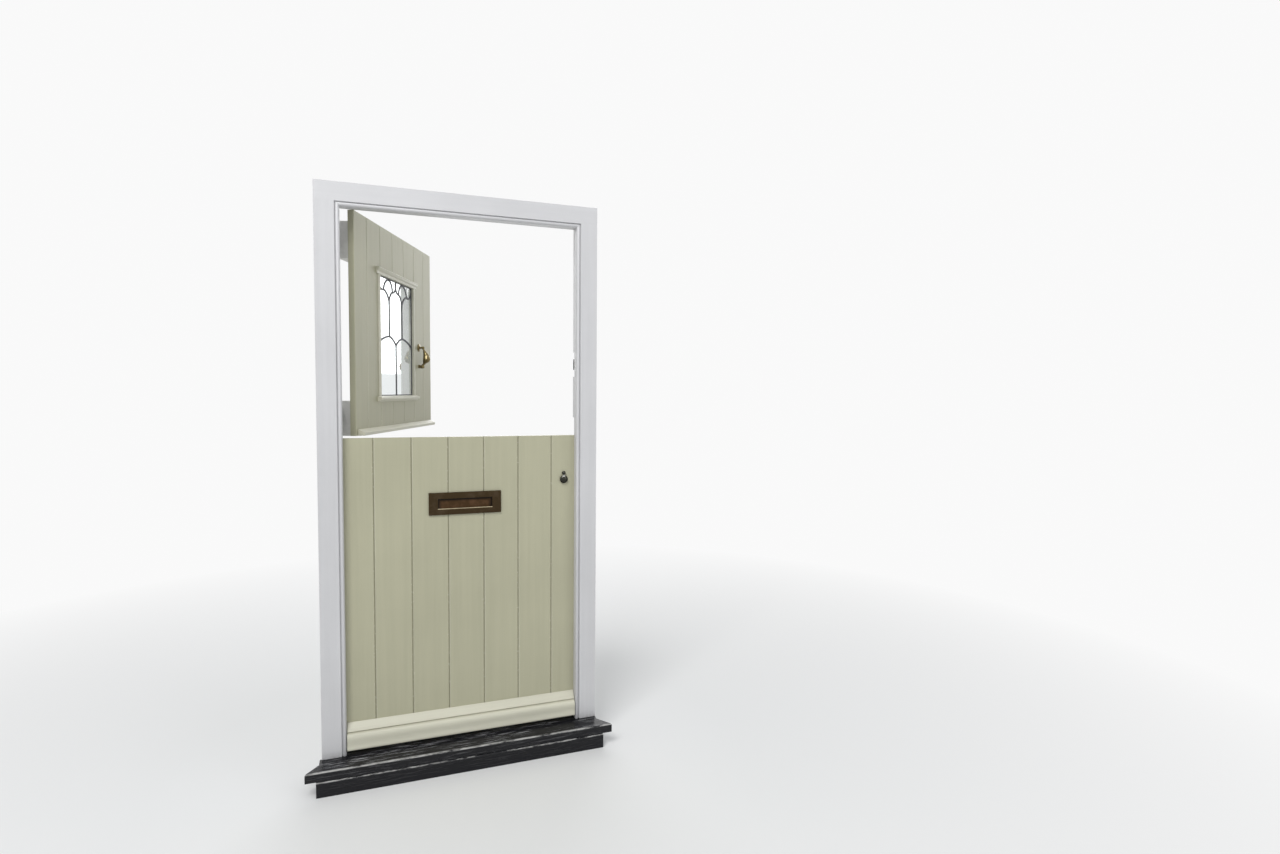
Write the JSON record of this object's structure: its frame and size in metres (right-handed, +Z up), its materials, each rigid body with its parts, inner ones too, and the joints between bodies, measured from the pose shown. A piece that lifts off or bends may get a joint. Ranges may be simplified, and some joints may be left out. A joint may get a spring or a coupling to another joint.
{
  "type": "dutch stable door",
  "caption": "Ledged board stable door in its frame with sill: closed lower leaf with letter plate, open glazed upper leaf with leaded light and knocker.",
  "frame": {"origin": "under the middle of the sill plinth, in the plane of the frame's front face", "axes": "+X towards the lock jamb, +Y inwards through the wall, +Z up"},
  "size_m": [1.034, 0.9541, 1.983],
  "materials": {
    "frame_paint": "satin paint",
    "sill_paint": "gloss paint",
    "board_paint": "satin paint",
    "moulding_paint": "satin paint",
    "inner_paint": "satin paint",
    "black_iron": "japanned",
    "steel": "brushed",
    "bronze": "dark bronze",
    "brass": "aged brass",
    "glass": "clear",
    "lead": "dull lead"
  },
  "bodies": {
    "frame": {"hinge_jamb": "frame_paint", "lock_jamb": "frame_paint", "frame_head": "frame_paint", "sill": "sill_paint", "sill_plinth": "sill_paint", "lock_side_trim": "frame_paint", "head_trim": "frame_paint", "hinge_hooks": "black_iron", "latch_keep": "black_iron", "lock_keep": "black_iron"},
    "lower_leaf": {"lower_board_1": "board_paint", "lower_board_2": "board_paint", "lower_board_3": "board_paint", "lower_board_4": "board_paint", "lower_board_5": "board_paint", "lower_board_6": "board_paint", "lower_board_7": "board_paint", "lower_top_ledge": "inner_paint", "lower_bottom_ledge": "inner_paint", "lower_brace": "inner_paint", "weather_board": "moulding_paint", "letter_plate": "bronze", "letter_plate_bolts": "bronze", "escutcheon": "bronze", "rim_lock_case": "black_iron", "lower_hinge_bands": "black_iron", "lower_band_screws": "black_iron", "joining_bolt_keep": "black_iron"},
    "upper_leaf": {"upper_board_1": "board_paint", "upper_board_2": "board_paint", "upper_board_3": "board_paint", "upper_board_4": "board_paint", "upper_board_5": "board_paint", "upper_board_6": "board_paint", "upper_board_7": "board_paint", "upper_top_ledge": "inner_paint", "upper_bottom_ledge": "inner_paint", "upper_uprights": "inner_paint", "latch_block": "inner_paint", "drip_moulding": "moulding_paint", "glass": "glass", "lead_cames": "lead", "light_side_mouldings": "moulding_paint", "light_hood": "moulding_paint", "light_sill": "moulding_paint", "inner_glazing_bead": "inner_paint", "knocker_rose": "brass", "knocker_strike": "brass", "rim_latch_case": "black_iron", "upper_hinge_bands": "black_iron", "upper_band_screws": "black_iron", "joining_bolt_guide": "black_iron"},
    "letter_flap": {"letter_flap": "bronze"},
    "keyhole_cover": {"keyhole_cover": "bronze"},
    "lock_bolt": {"lock_bolt": "steel"},
    "latch_bolt": {"latch_bolt": "steel"},
    "latch_knob": {"latch_knob": "brass"},
    "knocker_arm": {"knocker_arm": "brass"},
    "joining_bolt": {"joining_bolt": "steel"}
  },
  "joints": [
    {"name": "lower_leaf_swing", "type": "hinge", "parent": "frame", "child": "lower_leaf", "pos_m": [-0.4245, 0.0985, 0.242], "axis": [0, 0, 1], "range_deg": [0, 95]},
    {"name": "upper_leaf_swing", "type": "hinge", "parent": "frame", "child": "upper_leaf", "pos_m": [-0.4245, 0.0985, 1.219], "axis": [0, 0, 1], "range_deg": [-68.9, 26.1]},
    {"name": "letter_flap_swing", "type": "hinge", "parent": "lower_leaf", "child": "letter_flap", "pos_m": [0, 0.034, 0.943], "axis": [1, 0, 0], "range_deg": [0, 80], "stiffness_Nm_per_rad": 0.02, "springref_deg": -11.46},
    {"name": "keyhole_cover_swing", "type": "hinge", "parent": "lower_leaf", "child": "keyhole_cover", "pos_m": [0.3545, 0.0275, 1.016], "axis": [0, 1, 0], "range_deg": [-80, 80]},
    {"name": "lock_bolt_slide", "type": "slide", "parent": "lower_leaf", "child": "lock_bolt", "axis": [1, 0, 0], "range_m": [0, 0.02]},
    {"name": "latch_knob_turn", "type": "hinge", "parent": "upper_leaf", "child": "latch_knob", "pos_m": [-0.16318, 0.80907, 1.418], "axis": [-0.933, 0.36, 0], "range_deg": [0, 40], "stiffness_Nm_per_rad": 0.03},
    {"name": "latch_bolt_slide", "type": "slide", "parent": "upper_leaf", "child": "latch_bolt", "axis": [0.36, 0.933, 0], "range_m": [-0.012, 0]},
    {"name": "knocker_swing", "type": "hinge", "parent": "upper_leaf", "child": "knocker_arm", "pos_m": [-0.10214, 0.69226, 1.498], "axis": [0.36, 0.933, 0], "range_deg": [-75, 0]},
    {"name": "joining_bolt_slide", "type": "slide", "parent": "upper_leaf", "child": "joining_bolt", "axis": [0, 0, -1], "range_m": [0, 0.026]}
  ],
  "couplings": [
    {"joint": "latch_bolt_slide", "follows": "latch_knob_turn", "m_per_rad": -0.017}
  ]
}
